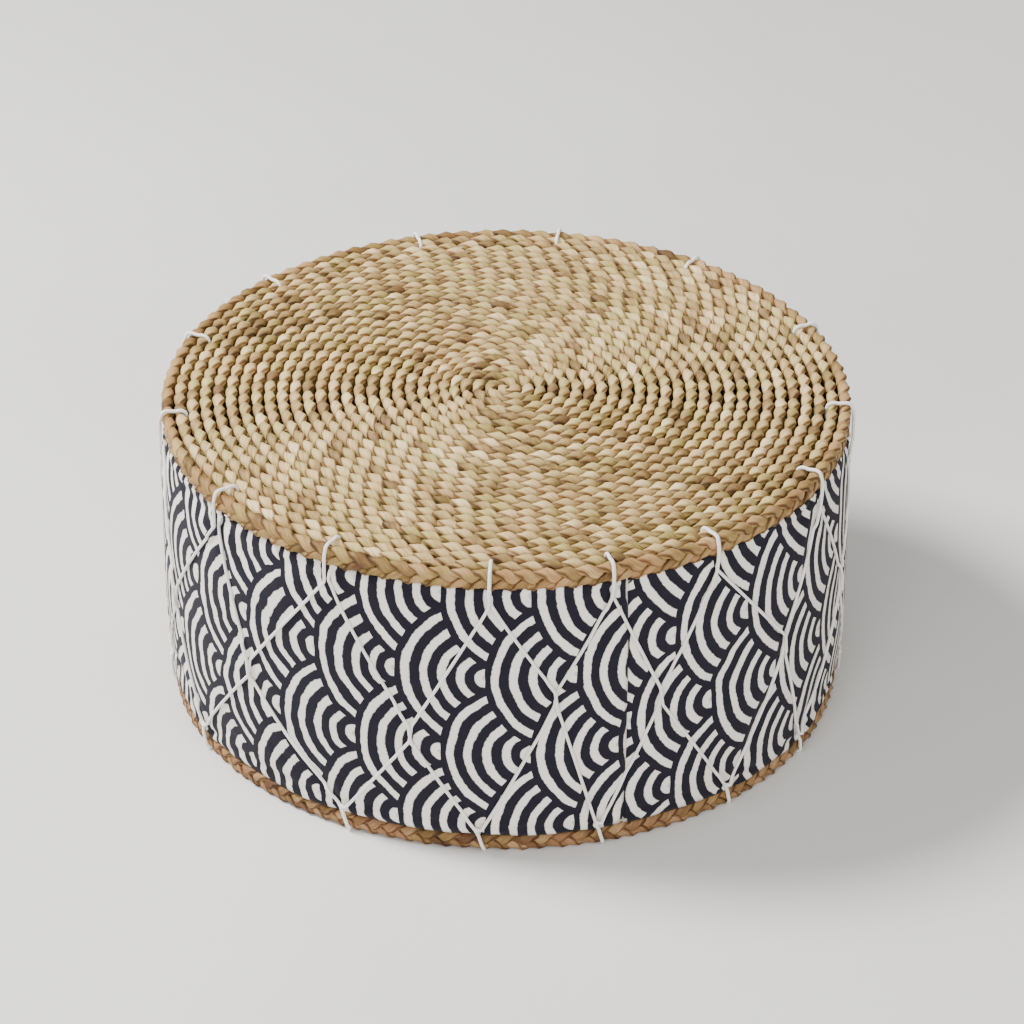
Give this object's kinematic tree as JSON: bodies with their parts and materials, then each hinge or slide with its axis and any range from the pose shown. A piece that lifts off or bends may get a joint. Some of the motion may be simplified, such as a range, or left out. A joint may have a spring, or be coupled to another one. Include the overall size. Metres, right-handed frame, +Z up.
{
  "type": "laced floor pouf",
  "caption": "Low round pouf: a foam core in a printed cotton drum, held between coiled water-hyacinth braid discs by cotton lacing.",
  "frame": {"origin": "centre of the underside, on the floor", "axes": "+Z up through the centre of the seat, -Y towards the pictured side, +X to its right"},
  "size_m": [0.5096, 0.5107, 0.2342],
  "materials": {
    "seat_braid": "dry plaited water hyacinth, matte with a slight sheen on the ridges",
    "base_braid": "dry plaited water hyacinth, browner, matte",
    "coil_thread": "waxed natural thread",
    "printed_cotton": "plain-weave cotton, cream ground printed with dark blue overlapping fans, matte",
    "plain_cotton": "undyed plain-weave cotton, matte",
    "sewing_thread": "dark blue sewing thread",
    "liner_cloth": "thin undyed calico, matte",
    "wadding": "white polyester fibre wadding",
    "soft_foam": "pale open-cell foam",
    "firm_foam": "denser open-cell foam",
    "lacing_cord": "round off-white cotton cord, matte"
  },
  "bodies": {
    "root": {"seat_coil": "seat_braid", "seat_rim_braid": "seat_braid", "seat_coil_stitching": "coil_thread", "base_coil": "base_braid", "base_rim_braid": "base_braid", "base_coil_stitching": "coil_thread", "side_cover": "printed_cotton", "side_seam_stitching": "sewing_thread", "top_cover_panel": "plain_cotton", "base_cover_panel": "plain_cotton", "top_seam_stitching": "sewing_thread", "base_seam_stitching": "sewing_thread", "inner_liner_band": "liner_cloth", "inner_liner_top": "liner_cloth", "inner_liner_base": "liner_cloth", "side_wadding": "wadding", "top_wadding": "wadding", "comfort_foam": "soft_foam", "foam_core": "firm_foam", "lacing_cord_a": "lacing_cord", "lacing_cord_b": "lacing_cord", "lacing_knot_a": "lacing_cord", "lacing_knot_b": "lacing_cord"}
  },
  "joints": []
}
